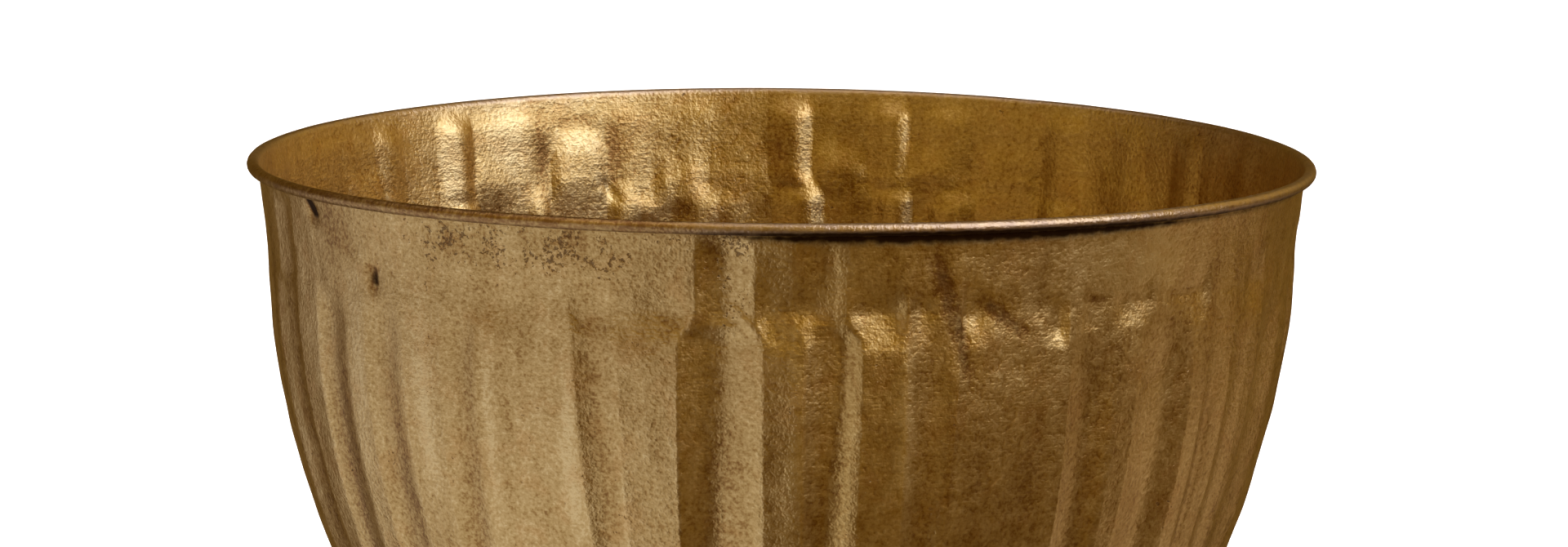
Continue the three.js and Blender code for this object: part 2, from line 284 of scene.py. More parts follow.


# ---- Single marks of the hand work ----
# Azimuth, drop, half width and half height in mm, lean in degrees, depth in mm, share of the size that is
# slope, and tarnish with painted light: up to 1 is brown, as tarnish and in some marks as painted shade; more
# than 1 adds near-black painted shade; and less than 0 is brighter, as rubbed brass and in some marks as a
# painted highlight
MARKS = [
    (-71.6, 29, 3.4, 25, 18, 0.5, 0.4, 1.25),
    (-65.9, 29.7, 3.0, 13, 53, 0.4, 0.4, 1.25),
    (-94.0, 29, 1.4, 8, 46, -0.7, 0.9, 0.0),
    (-88.5, 66, 3.2, 32, 0, -0.55, 0.8, -1.0),
    (-76.6, 66, 3.4, 34, 0, -0.5, 0.8, -0.6),
    (-146.4, 75, 3.6, 48, 0, 0.0, 0.9, 0.7),
    (-137.0, 84, 6.0, 46, 0, 0.0, 0.9, 0.6),
    (-132.0, 66, 4.0, 38, 0, 0.0, 0.9, -0.9),
    (-126.2, 78, 5.0, 50, 0, 0.0, 0.9, 0.5),
    (-123.0, 68, 2.6, 38, 0, 0.0, 0.9, -0.9),
    (-113.2, 72, 2.8, 38, 0, 0.0, 0.9, -0.9),
    (-79.6, 72, 3.0, 36, 0, 0.0, 0.9, 0.4),
    (-71.3, 76, 2.6, 36, 0, 0.0, 0.8, 0.5),
    (-61.0, 84, 6.0, 40, 0, 0.0, 0.9, 0.45),
    (-53.0, 84, 5.5, 40, 0, 0.0, 0.9, 0.35),
    (-110.6, 60, 4.6, 30, 4, 0.0, 0.9, 0.55),
    (-167.5, 66, 5.0, 64, 0, 0.0, 0.8, 0.9),
    (-162.4, 66, 3.6, 56, 0, 0.0, 0.9, -0.8),
    (-157.8, 62, 3.6, 56, 0, 0.0, 0.8, 0.95),
    (-151.6, 60, 4.0, 50, 0, 0.0, 0.9, -0.6),
    (-142.8, 60, 5.0, 45, 0, 0.0, 0.9, -0.7),
    (-150.4, 4.5, 3.8, 7, 18, 1.6, 0.8, 1.9),
    (-139.3, 24.5, 2.6, 6, 0, 1.0, 0.9, 1.9),
    (-153.2, 30.5, 4.0, 1.0, 0, 0.4, 0.9, 0.8),
    (-120.5, 65, 1.4, 7, 0, 0.4, 0.9, 0.6),
    (-110.3, 33.5, 6.0, 4.5, 0, 0.2, 0.9, 0.6),
    (-101.5, 31.5, 6.5, 5, 0, 0.0, 0.9, 0.35),
    (-54.2, 26, 5.6, 1.5, 0, 0.3, 0.9, 0.8),
    (-50.0, 15, 36, 12, 0, 0.0, 0.9, -1.0),
    (-97.2, 6, 4.2, 10, 0, 0.0, 0.9, 0.9),
    (-145.0, 12, 11, 12, 0, 0.0, 0.9, 0.8),
    (-127.0, 9, 9, 8, 0, 0.0, 0.9, 0.7),
    (-113.0, 5, 16, 5, 0, 0.0, 0.9, 0.6),
    (111.4, 33, 1.8, 9, -40, -0.7, 0.9, -1.0),
    (133.3, 20, 4.6, 17, 0, 0.0, 0.7, -1.0),
    (125.0, 13, 11.0, 15, 0, 0.0, 0.8, -1.0),
    (115.2, 16, 9.0, 5, 0, 0.0, 0.8, -1.0),
    (115.2, 7.5, 12.0, 2.8, 0, 0.0, 0.9, 0.8),
    (130.4, 20, 2.6, 17, 0, 0.0, 0.8, 0.3),
    (127.2, 32.5, 6.0, 5, 0, 0.0, 0.9, 0.3),
    (120.0, 20, 3.2, 15, 0, 0.0, 0.9, 1.0),
    (110.5, 21, 3.2, 15, 0, 0.0, 0.9, 1.0),
    (102.2, 40, 6.0, 6, 0, 0.0, 0.9, 0.6),
    (90.2, 20, 4.6, 18, 0, 0.0, 0.9, 0.5),
    (83.5, 34, 7.0, 4, 0, 0.0, 0.9, 0.3),
    (72.0, 33, 7.0, 3, 0, 0.0, 0.9, 0.3),
    (97.0, 42, 8.0, 7, 0, 0.8, 0.9, 0.0),
    (107.0, 41, 6.0, 5, 20, 0.8, 0.9, 0.0),
    (60.0, 16, 8.0, 11, 0, 0.4, 0.9, 0.0),
    (31.0, 15, 7.0, 12, 0, 0.4, 0.9, 0.0),
    (-176.0, 62, 42, 50, 0, 0.8, 0.9, 0.0),
    (-4.0, 85, 42, 42, 0, 0.6, 0.9, 0.0),
]


def mark_fields():
    """How far the marks are pressed in, and how tarnished they are, with the painted shade and painted
    highlights that some of them carry.
    """
    total = np.zeros_like(DROP)
    stain_and_painted_light = np.zeros_like(DROP)
    radius = wall_radius(DROP)
    for azimuth, drop, half_width, half_height, lean, depth, slope, tarnish_and_painted_light in MARKS:
        across = np.radians(angle_from(AZIMUTH, azimuth)) * radius
        down = DROP - drop
        turn = math.radians(lean)
        along = down * math.cos(turn) + across * math.sin(turn)
        beside = across * math.cos(turn) - down * math.sin(turn)
        reach = (np.abs(beside / half_width) ** 3 + np.abs(along / half_height) ** 3) ** (1 / 3)
        inside = 1 - smoothstep(1 - slope, 1 + slope / 3, reach)
        total += depth * inside
        stain_and_painted_light = np.where(inside * abs(tarnish_and_painted_light) > np.abs(stain_and_painted_light), tarnish_and_painted_light * inside, stain_and_painted_light)
    return total, stain_and_painted_light


# ---- Plates: swellings pressed in from the neck's outside, deepest at their flat feet ----
# Azimuth; half width, drop of the top, how far its corners are lower, drop of the foot, and depth, in mm
PLATES = [
    (115.2, 9.6, 9.5, 7, 27.5, 1.7),
    (125.4, 12.0, -4.0, 2, 27.5, 0.8),
    (108.0, 4.4, 2.0, 4, 30.0, 0.6),
    (95.0, 10.0, 13.0, 6, 27.0, 0.4),
    (-90.0, 6.0, 8.0, 4, 27.0, 0.5),
    (-105.0, 14.0, 2.0, 4, 27.0, 0.4),
]
PLATE_FOOT = 14.0  # height of the slope at a plate's foot, in mm


def plate_relief():
    total = np.zeros_like(DROP)
    for azimuth, half, top, corner, foot, depth in PLATES:
        across = np.abs(np.radians(angle_from(AZIMUTH, azimuth)) * NECK_RADIUS / half)
        down = np.clip((DROP - top - corner * across**3) / (foot - top), 0, 1) ** 0.5
        ends = smoothstep(1.25, 0.8, across) * smoothstep(foot + PLATE_FOOT, foot, DROP)
        total = np.maximum(total, depth * down * ends)
    return total


# ---- Hammering: soft facets all over, upright ripples, and a slow wander of the whole wall ----
FACET_SIZE = 12.0
FACET_DEPTH = 0.34
RIPPLE_SIZE = 9.0
RIPPLE_STRETCH = 7.0
RIPPLE_DEPTH = 0.22
WANDER_SIZE = 70.0
WANDER_DEPTH = 0.7


def hammer_relief():
    total = FACET_DEPTH * noise_field(FACET_SIZE, 0)
    total += RIPPLE_DEPTH * noise_field(RIPPLE_SIZE, 11, RIPPLE_STRETCH)
    total += WANDER_DEPTH * noise_field(WANDER_SIZE, 7)
    return total * smoothstep(2, 14, DROP) * ramp(WALL_END_DROP, WALL_END_DROP - 20, DROP)


INSET = 0.3  # keeps the highest hammer marks inside the CAD's lands
MARK_RELIEF, MARK_STAIN_AND_PAINTED_LIGHT = mark_fields()


def wall_relief():
    """How far the wall is pressed in from its plain radius, in mm, over the whole grid."""
    fade_top = smoothstep(1.5, 8, DROP)
    marks = MARK_RELIEF + plate_relief() + INSET
    return FLUTE_RELIEF + ledge_relief() + marks * fade_top + hammer_relief()


def cylinder_points(radius, azimuth, height):
    angle = np.radians(azimuth)
    return np.stack([radius * np.cos(angle), radius * np.sin(angle), height], axis=-1)


def rim_lift(azimuth, height):
    """Height that the rim's wave adds."""
    share = np.clip((height - WAVE_START) / (RIM_Z - WAVE_START), 0, 1)
    return -RIM_WAVE * np.cos(2 * np.radians(azimuth)) * share


def mesh_object(name, vertices, faces, material):
    mesh = bpy.data.meshes.new(name)
    mesh.from_pydata((np.asarray(vertices) * MM).tolist(), [], faces)
    mesh.validate()
    mesh.update()
    mesh.polygons.foreach_set("use_smooth", [True] * len(mesh.polygons))
    mesh.materials.append(material)
    piece = bpy.data.objects.new(name, mesh)
    bpy.context.scene.collection.objects.link(piece)
    return piece


def ring_faces(rows, columns, closed):
    """Quads between the rows of a grid that is closed round its columns, and if closed is true also from its
    last row to its first."""
    faces = []
    for i in range(rows if closed else rows - 1):
        here = i * columns
        below = (i + 1) % rows * columns
        for j in range(columns):
            right = (j + 1) % columns
            faces.append((here + j, below + j, below + right, here + right))
    return faces


# ---- Shades of the sheet, which every vertex stores for the material ----
# "patina_and_painted_light" is brown tarnish, most of it in the grooves, with painted shade in some marks and
# on the bead, and it is less than 0 where the brass is rubbed bright and where a highlight is painted.
# "painted_shade" is near black: painted shadow under the bead and in some marks. "pits" says how pitted the
# sheet is.
# "worn" is the paler, rubbed bead. "golden" is yellower brass: the inside, which is cleaner, and the outside at
# the right of the front, where the tint is painted light.
SHADES = ("patina_and_painted_light", "painted_shade", "pits", "worn", "golden")
# The golden part of the outside is painted light: a yellower tint that stands in for the warm light there.
GOLDEN_LIGHT_MIDDLE = -35  # azimuth of the middle of the golden part of the outside
GOLDEN_LIGHT_REACH = 48  # it is fully golden this far to each side, in degrees ...
GOLDEN_LIGHT_END = 62  # ... and not at all from here on


def under_bead(azimuth):
    """Share of near-black painted shadow in the crevice under the rolled rim: least at the left of the front.
    """
    side = np.abs(angle_from(azimuth, -135))
    right = smoothstep(-62, -35, azimuth) * smoothstep(20, 0, azimuth)
    return 0.3 + 0.7 * smoothstep(30, 52, side) * (1 - 0.55 * right)


# Painted shadow, near black, in the crevice under the bead, and painted shade in the marks whose tarnish passes
# 1.
def wall_painted_shade():
    share = under_bead(AZIMUTH)
    reach = 1.6 + 3.2 * share
    crevice = share * (1 - smoothstep(reach - 1.6, reach + 2.0, DROP))
    return np.maximum(crevice, 1.4 * ramp(1, 2, MARK_STAIN_AND_PAINTED_LIGHT))


def wall_patina_and_painted_light():
    """Brown in the marks and the grooves' bottoms, more of it lower down, and none in the grooves round +X.
    Some marks carry painted shade and painted highlights instead, and the lands beside the grooves are made
    paler: rubbed brass and a painted highlight.
    """
    lower = 0.2 + 0.5 * smoothstep(30, 110, DROP)
    aged = smoothstep(60, 80, np.abs(angle_from(AZIMUTH, 0)))
    grooves = np.sign(GROOVE_SHARE) * GROOVE_SHARE**2 * lower * aged
    return np.where(np.abs(MARK_STAIN_AND_PAINTED_LIGHT) > np.abs(grooves), np.minimum(MARK_STAIN_AND_PAINTED_LIGHT, 1), grooves)


# Azimuth and half width of a patch in degrees, and the drop that it fades out about, in mm
PITTED = [(-119.0, 15.0, 25.0), (-94.8, 2.2, 40.0), (-113.0, 24.0, 10.0)]
PITTED_PEAK = 1.15  # how pitted a patch is at the rim
PITTED_FADE = 20  # it fades from this far above that drop ...
PITTED_TAIL = 6  # ... to this far below it


def wall_pits():
    """Where the sheet is pitted, in patches under the rim."""
    total = np.zeros_like(DROP)
    for azimuth, half, end in PITTED:
        inside = 1 - smoothstep(0.7, 1.1, np.abs(angle_from(AZIMUTH, azimuth)) / half)
        fade = 1 - smoothstep(end - PITTED_FADE, end + PITTED_TAIL, DROP)
        total = np.maximum(total, PITTED_PEAK * inside * fade)
    return total


# ---- Rolled rim ----
CURL_START = 180  # angle round the wire where the curl leaves the wall, on its inner side
CURL_END = -148  # where it ends, tucked in under the wire
CURL_LOOSE = 34  # how much sooner it ends at the left of the front, where the roll is less tight
CURL_STEPS = 14
BEAD_UNEVENNESS = 0.06


def curl_rows(azimuth):
    """The sheet's curl round the rim wire: points over the top to its edge, and back along its underside."""
    loose = smoothstep(-75, -110, azimuth) * smoothstep(-190, -150, azimuth)
    # painted shade: at the left of the front the bead is made browner and less worn, and gets no painted
    # highlight
    brown = smoothstep(45, 33, np.abs(angle_from(azimuth, -137)))
    end = CURL_END + CURL_LOOSE * loose
    around = np.radians(azimuth)
    swell = np.array([noise.noise(Vector((math.cos(a) * 9, math.sin(a) * 9, 3))) for a in around])
    outer = BEAD_RADIUS - BEAD_UNEVENNESS + BEAD_UNEVENNESS * np.clip(swell, -1, 1)
    surfaces = (outer, np.linspace(0, 1, CURL_STEPS)), (outer - SHEET, np.linspace(1, 0, CURL_STEPS))
    rows = []
    for radius, steps in surfaces:
        for t in steps:
            angle = np.radians(CURL_START + (end - CURL_START) * t)
            across = RIM_CENTRE + radius * np.cos(angle)
            up = RIM_Z + radius * np.sin(angle)
            # painted shade on the curl's underside, near-black painted shadow in the crevice there, and a
            # painted highlight on its top
            under = smoothstep(0.5, -0.5, np.sin(angle)) * (np.cos(angle) > -0.9)
            rubbed = (1 - brown) * smoothstep(0.2, 0.9, np.sin(angle))
            painted_shade = under_bead(azimuth) * smoothstep(0.1, -0.7, np.sin(angle)) * (np.cos(angle) > -0.9)
            place = cylinder_points(across, azimuth, up + rim_lift(azimuth, up))
            worn = np.where(np.cos(angle) < 0, smoothstep(0.1, 0.6, np.sin(angle)), 1)
            patina_and_painted_light = np.maximum(0.9 * under, 0.8 * brown) - rubbed
            rows.append((place, patina_and_painted_light, painted_shade, 0 * azimuth, worn * (1 - 0.8 * brown), 0 * azimuth))
    return rows


# ---- Bottom bend and flange ----
BEND_X = float(wall_radius(np.array(WALL_END_DROP))) - BEND_RADIUS * math.cos(math.radians(LEAN))
BEND_Y = FLANGE_Z + BEND_RADIUS
BEND_STEPS = 6


def bend_rows(azimuth, radius, reverse):
    """The bottom bend and the flange, for the outer or the inner side of the sheet."""
    angles = np.linspace(-LEAN, -90, BEND_STEPS + 1)[1:]
    edge = 0.15  # the flange's cut edge is broken by this much
    height = FLANGE_Z + (BEND_RADIUS - radius)
    plain = [0 * azimuth] * len(SHADES)
    rows = []
    for degrees in angles:
        turn = math.radians(degrees)
        across = np.full_like(azimuth, BEND_X + radius * math.cos(turn))
        up = np.full_like(azimuth, BEND_Y + radius * math.sin(turn))
        rows.append((cylinder_points(across, azimuth, up), *plain))
    inner = np.full_like(azimuth, BEND_X - FLANGE_WIDTH + edge)
    rows.append((cylinder_points(inner, azimuth, np.full_like(azimuth, height)), *plain))
    tip = edge if radius == BEND_RADIUS else -edge
    rows.append((cylinder_points(inner - edge, azimuth, np.full_like(azimuth, height + tip)), *plain))
    return rows[::-1] if reverse else rows


# ---- The whole wall: one closed skin over the roll, down the outside, round the bend and up the inside ----
INSIDE_SWELL = 1.6  # how much thicker the sheet is made under the crease, so that the inside slopes evenly


def inside_thickness(drop):
    return SHEET + INSIDE_SWELL * smoothstep(24, 40, drop) * smoothstep(115, 50, drop)


INSIDE_ROWS = [i for i, drop in enumerate(WALL_ROWS) if drop < 44 or i % 2 == 0 or drop == WALL_END_DROP]


def build_wall(material):
    radius = wall_radius(DROP) - wall_relief()
    height = RIM_Z - DROP
    lifted = height + rim_lift(AZIMUTH, height)
    # painted light: the outside is tinted yellower at the right of the front
    golden_light_tint = smoothstep(GOLDEN_LIGHT_END, GOLDEN_LIGHT_REACH, np.abs(angle_from(AZIMUTH, GOLDEN_LIGHT_MIDDLE)))
    outside = (wall_patina_and_painted_light(), wall_painted_shade(), wall_pits(), 0 * DROP, golden_light_tint)
    # inside, the marks carry painted highlights and painted shade
    inside = (np.minimum(MARK_STAIN_AND_PAINTED_LIGHT, 1), 0 * DROP, 0 * DROP, 0 * DROP, 1 + 0 * DROP)

    def rings(indices, surface, shades):
        return [
            (cylinder_points(surface[i], AZIMUTH[i], lifted[i]), *(shade[i] for shade in shades))
            for i in indices
        ]

    foot = AZIMUTH[-1]
    rows = (
        curl_rows(AZIMUTH[0])
        + rings(range(len(WALL_ROWS)), radius, outside)
        + bend_rows(foot, BEND_RADIUS, False)
        + bend_rows(foot, BEND_RADIUS - SHEET, True)
        + rings(INSIDE_ROWS[::-1], radius - inside_thickness(DROP), inside)
    )
    points, *values = (np.concatenate(part) for part in zip(*rows))
    wall = mesh_object("fluted_wall", points, ring_faces(len(rows), AZIMUTH.shape[1], True), material)
    for name, value in zip(SHADES, values):
        add_shade(wall, name, value)
    return wall


def add_shade(piece, name, values):
    """Stores a value for every vertex, for the material to read by name."""
    layer = piece.data.attributes.new(name, "FLOAT", "POINT")
    layer.data.foreach_set("value", np.asarray(values, dtype=np.float32))


# ---- Node helpers ----
class Nodes:
    """A material's node tree, with short calls for the nodes that are used here."""

    def __init__(self, name):
        self.material = bpy.data.materials.new(name)
        self.material.use_nodes = True
        self.tree = self.material.node_tree
        self.tree.nodes.clear()
        self.shader = self.add("ShaderNodeBsdfPrincipled")
        output = self.add("ShaderNodeOutputMaterial")
        self.link(self.shader.outputs[0], output.inputs["Surface"])
        self.place = self.add("ShaderNodeTexCoord").outputs["Object"]

    def add(self, kind, **settings):
        node = self.tree.nodes.new(kind)
        for key, value in settings.items():
            setattr(node, key, value)
        return node

    def link(self, source, target):
        if hasattr(source, "is_output"):
            self.tree.links.new(source, target)
        else:
            target.default_value = source

    def stretched(self, x, y, z):
        node = self.add("ShaderNodeMapping")
        self.link(self.place, node.inputs["Vector"])
        node.inputs["Scale"].default_value = (x, y, z)
        return node.outputs["Vector"]

    def shade(self, name):
        return self.add("ShaderNodeAttribute", attribute_name=name).outputs["Fac"]

    def noise(self, scale, detail=2.0, roughness=0.5, where=None, distortion=0.0):
        node = self.add("ShaderNodeTexNoise")
        self.link(where or self.place, node.inputs["Vector"])
        node.inputs["Scale"].default_value = scale
        node.inputs["Detail"].default_value = detail
        node.inputs["Roughness"].default_value = roughness
        node.inputs["Distortion"].default_value = distortion
        return node.outputs["Fac"]

    def spread(self, value, low, high, out_low=0.0, out_high=1.0):
        node = self.add("ShaderNodeMapRange", interpolation_type="SMOOTHSTEP")
        for socket, v in zip(node.inputs[:5], (value, low, high, out_low, out_high)):
            self.link(v, socket)
        return node.outputs[0]

    def math(self, operation, a, b=0.0):
        node = self.add("ShaderNodeMath", operation=operation)
        self.link(a, node.inputs[0])
        self.link(b, node.inputs[1])
        return node.outputs[0]

    def total(self, start, *parts):
        """The start value plus each noise's distance from its middle, weighted."""
        value = start
        for part, weight in parts:
            value = self.math("ADD", value, self.math("MULTIPLY", self.math("SUBTRACT", part, 0.5), weight))
        return value

    def ramp(self, value, stops):
        node = self.add("ShaderNodeValToRGB")
        self.link(value, node.inputs["Fac"])
        elements = node.color_ramp.elements
        while len(elements) < len(stops):
            elements.new(0.5)
        for element, (position, colour) in zip(elements, stops):
            element.position = position
            element.color = (*colour, 1)
        return node.outputs["Color"]

    def mix(self, share, a, b, blend="MIX"):
        node = self.add("ShaderNodeMix", data_type="RGBA", blend_type=blend)
        self.link(share, node.inputs["Factor"])
        self.link(a, node.inputs["A"])
        self.link(b, node.inputs["B"])
        return node.outputs["Result"]

    def bump(self, height, strength, distance, before=None):
        node = self.add("ShaderNodeBump")
        self.link(height, node.inputs["Height"])
        node.inputs["Strength"].default_value = strength
        node.inputs["Distance"].default_value = distance
        if before is not None:
            self.link(before, node.inputs["Normal"])
        return node.outputs[0]

    def set(self, **inputs):
        for name, value in inputs.items():
            self.link(value, self.shader.inputs[name.replace("_", " ")])


# ---- Materials ----
BRASS_TONES = [  # darkest to palest
    (0.00, (0.24, 0.130, 0.044)),
    (0.25, (0.36, 0.226, 0.083)),
    (0.42, (0.45, 0.313, 0.127)),
    (0.60, (0.52, 0.375, 0.166)),
    (0.80, (0.58, 0.433, 0.205)),
    (1.00, (0.68, 0.540, 0.285)),
]


TONE_MIDDLE = 0.62  # where the sheet's average tone lies in those
STAIN_TINT = (0.84, 0.70, 0.56, 1)  # of the brownish stains in the mottled parts
STAIN_SHARE = 0.55
PIT_LOW = 1.48  # the pits' noise begins to show here ...
PIT_HIGH = 1.66  # ... and is full here
PITTED_BOOST = 0.31  # how much "pits" adds to that noise
PIT_SHARE = 0.75
PIT_COLOUR = (0.095, 0.050, 0.022, 1)
GOLDEN_TINT = (1.0, 0.97, 0.84, 1)
WORN_COLOUR = (0.39, 0.292, 0.215, 1)
# near black, for the painted shadow under the bead and in some marks
PAINTED_SHADE_COLOUR = (0.032, 0.014, 0.004, 1)


def brass_material():
    n = Nodes("aged_brass")
    sand = n.noise(760, 1.5, 0.7)
    fleck = n.noise(250, 2.0, 0.5)
    streak = n.noise(90, 3.0, 0.6, where=n.stretched(1, 1, 0.13))
    mottle = n.noise(80, 4.0, 0.65, distortion=0.4)
    cloud = n.noise(18, 4.0, 0.6, distortion=0.3)
    brushed = n.noise(110, 2.0, 0.6, where=n.stretched(1, 1, 11))
    patches = (mottle, 0.5), (cloud, 0.45)
    tone = n.total(TONE_MIDDLE, (sand, 1.5), (fleck, 0.5), (streak, 0.8), *patches, (brushed, 0.15))
    # tarnish and painted shade darken the tone; below 0, rubbed brass and painted highlights make it paler
    tarnish_and_painted_light = n.math("MULTIPLY", n.shade("patina_and_painted_light"), n.spread(mottle, 0.25, 0.7, 0.40, 0.56))
    colour = n.ramp(n.math("SUBTRACT", tone, tarnish_and_painted_light), BRASS_TONES)
    stained = n.mix(1.0, colour, STAIN_TINT, "MULTIPLY")
    colour = n.mix(n.spread(mottle, 0.48, 0.68, 0, STAIN_SHARE), colour, stained)

    crack = n.math("ABSOLUTE", n.math("SUBTRACT", n.noise(300, 3.0, 0.6, distortion=1.2), 0.5))
    pit_noise = n.total(0.05, (n.noise(740, 2.0, 0.6), 1.4), (crack, -2.2), (mottle, 1.6))
    pit_noise = n.math("ADD", pit_noise, n.math("MULTIPLY", n.shade("pits"), PITTED_BOOST))
    pits = n.math("MULTIPLY", n.spread(pit_noise, PIT_LOW, PIT_HIGH), PIT_SHARE)
    colour = n.mix(pits, colour, PIT_COLOUR)

    # yellower brass inside, and on the outside a painted-light tint at the right of the front
    gilt = n.mix(1.0, colour, GOLDEN_TINT, "MULTIPLY")
    golden = n.math("MULTIPLY", n.shade("golden"), n.spread(cloud, 0.3, 0.7, 0.8, 1.0))
    colour = n.mix(golden, colour, gilt)
    worn = n.math("MULTIPLY", n.shade("worn"), n.spread(fleck, 0.3, 0.7, 0.5, 0.85))
    colour = n.mix(worn, colour, WORN_COLOUR)
    # painted shadow, near black, under the bead and in some marks
    uneven = n.math("MULTIPLY", n.math("SUBTRACT", fleck, 0.5), n.shade("painted_shade"))
    painted_shade = n.spread(n.math("ADD", n.shade("painted_shade"), uneven), 0.12, 0.85)
    colour = n.mix(painted_shade, colour, PAINTED_SHADE_COLOUR)

    rough = n.math("ADD", n.spread(fleck, 0.3, 0.7, 0.33, 0.40), n.math("MULTIPLY", painted_shade, 0.3))
    normal = n.bump(brushed, 0.25, 0.0003)
    normal = n.bump(fleck, 0.3, 0.0005, normal)
    normal = n.bump(sand, 0.8, 0.0003, normal)
    normal = n.bump(n.math("SUBTRACT", 1.0, pits), 0.5, 0.0003, normal)
    around = n.add("ShaderNodeTangent", direction_type="RADIAL", axis="Z").outputs[0]
    n.set(Base_Color=colour, Metallic=1.0, Roughness=rough, Normal=normal)
    n.set(Anisotropic=0.3, Anisotropic_Rotation=0.25, Tangent=around)
    return n.material


def plain_material(name, colour, metallic, roughness, scale, contrast):
    """A speckled finish for the pieces that hardly show."""
    n = Nodes(name)
    speck = n.noise(scale, 4.0, 0.6)
    cloud = n.noise(scale / 12, 3.0, 0.5)
    dark = tuple(c * (1 - contrast) for c in colour[:3]) + (1,)
    light = tuple(min(1, c * (1 + contrast)) for c in colour[:3]) + (1,)
    tone = n.mix(n.spread(cloud, 0.3, 0.7), dark, light)
    tone = n.mix(n.spread(speck, 0.42, 0.7), tone, dark)
    rough = n.spread(speck, 0.3, 0.7, roughness - 0.08, roughness + 0.08)
    n.set(Base_Color=tone, Metallic=metallic, Roughness=rough, Normal=n.bump(speck, 0.3, 0.0003))
    return n.material


aged_brass = brass_material()
braze_brass = plain_material("braze", (0.60, 0.46, 0.22), 1.0, 0.5, 500, 0.25)
iron_wire = plain_material("iron_wire", (0.10, 0.095, 0.09), 0.9, 0.55, 700, 0.3)
rubber = plain_material("rubber", (0.02, 0.019, 0.018), 0.0, 0.8, 900, 0.3)

wall = build_wall(aged_brass)
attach(wall, "root")
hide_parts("wall")


# ---- The base's pieces and the rim wire, each turned round an axis from its section ----
def turned(name, section, steps, material, closed, centre=(0, 0), swell=None):
    """Turns a section of (radius, height) points in mm round an upright axis. The points run along the
    underside outwards and over the top inwards. An open section starts and ends near the axis, where a fan
    closes it."""
    azimuth = np.arange(steps) * 360 / steps
    rings = []
    for i, (radius, height) in enumerate(section):
        lift = swell(i, azimuth) if swell else 0
        up = np.full(steps, float(height)) + lift
        rings.append(cylinder_points(np.full(steps, float(radius)), azimuth, up))
    points = np.concatenate(rings[::-1])
    faces = ring_faces(len(section), steps, closed)
    if not closed:
        points = np.concatenate([points, [(0, 0, section[-1][1]), (0, 0, section[0][1])]])
        last = (len(section) - 1) * steps
        for j in range(steps):
            right = (j + 1) % steps
            faces.append((len(points) - 2, j, right))
            faces.append((len(points) - 1, last + right, last + j))
    points[:, :2] += centre
    return mesh_object(name, points, faces, material)


def rounded(points, radius, steps=3):
    """Rounds the corners of a section, apart from its two ends."""
    result = [points[0]]
    for before, corner, after in zip(points, points[1:], points[2:]):
        before, corner, after = (np.array(p, dtype=float) for p in (before, corner, after))
        start = corner + (before - corner) * min(0.45, radius / np.linalg.norm(before - corner))
        end = corner + (after - corner) * min(0.45, radius / np.linalg.norm(after - corner))
        for t in np.linspace(0, 1, steps):
            result.append(tuple((1 - t) ** 2 * start + 2 * t * (1 - t) * corner + t * t * end))
    result.append(points[-1])
    return result


EDGE = 0.35  # how far the edges of the base's pieces are rounded, in mm
ROUND_STEPS = 96


def build_base_disc(material):
    """The floor: a disc with three shallow spun rings and rounded edges."""
    low, high = (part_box("base_disc")[i].z / MM for i in (0, 1))
    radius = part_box("base_disc")[1].x / MM
    section = rounded([(2, low), (radius, low), (radius, high), (radius - 3, high)], EDGE)
    for ring in (58, 40, 20):
        for t in np.linspace(0, 1, 9):
            section.append((ring + 4 * (0.5 - t), high - 0.25 * math.sin(math.pi * t) ** 2))
    section.append((2, high))
    return turned("spun_base", section, ROUND_STEPS, material, False)


def build_braze(material):
    """The braze fillet in the corner, lumpy as it ran."""
    disc_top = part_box("base_disc")[1].z / MM
    throat = BEND_RADIUS - SHEET - CLEARANCE
    angles = np.radians(np.linspace(-88, -50, 5))
    section = [(BEND_X + throat * math.cos(a), BEND_Y + throat * math.sin(a)) for a in angles]
    tip, foot = section[-1], (BEND_X + 0.4, disc_top - 0.1)
    for t in (0.25, 0.5, 0.75, 1.0):
        bow = 0.5 * math.sin(math.pi * t)
        section.append((tip[0] + (foot[0] - tip[0]) * t + 0.5 * bow, tip[1] + (foot[1] - tip[1]) * t - bow))

    def lumps(i, azimuth):
        if i < 6 or i == len(section) - 1:
            return 0 * azimuth
        angle = np.radians(azimuth)
        lump = [noise.noise(Vector((math.cos(a) * 14, math.sin(a) * 14, i * 0.4))) for a in angle]
        return -0.25 - 0.2 * np.array(lump)

    return turned("braze_fillet", section, 2 * ROUND_STEPS, material, True, swell=lumps)


def build_foot(node, material):
    """A moulded rubber foot: rounded edges, a mould line round its side, and a dished underside."""
    low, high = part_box(node)
    centre = ((low.x + high.x) / 2 / MM, (low.y + high.y) / 2 / MM)
    radius = (high.x - low.x) / 2 / MM
    height = high.z / MM
    middle = height / 2
    corners = [
        (0.5, 0.5), (radius * 0.55, 0.4), (radius * 0.7, 0), (radius - 0.1, 0), (radius - 0.1, middle - 0.25),
        (radius, middle), (radius - 0.1, middle + 0.25), (radius - 0.1, height), (0.5, height),
    ]
    return turned("rubber_" + node, rounded(corners, 0.2), 40, material, False, centre)


def build_rim_wire(material):
    """The iron ring inside the roll, following the rim's wave."""
    angles = np.linspace(0, 2 * math.pi, 12, endpoint=False)
    section = [(RIM_CENTRE + WIRE_RADIUS * math.cos(a), RIM_Z + WIRE_RADIUS * math.sin(a)) for a in angles]
    return turned(
        "rim_ring", section, 3 * ROUND_STEPS, material, True,
        swell=lambda i, azimuth: rim_lift(azimuth, section[i][1]),
    )


pieces = [
    (build_base_disc(aged_brass), "base_disc", "aged_brass"),
    (build_braze(braze_brass), "base_braze", "braze"),
    (build_rim_wire(iron_wire), "rim_wire", "iron_wire"),
]
for i in range(1, 5):
    pieces.append((build_foot(f"foot_{i}", rubber), f"foot_{i}", "rubber"))
for piece, node, slot in pieces:
    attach(piece, "root")
    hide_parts(node)


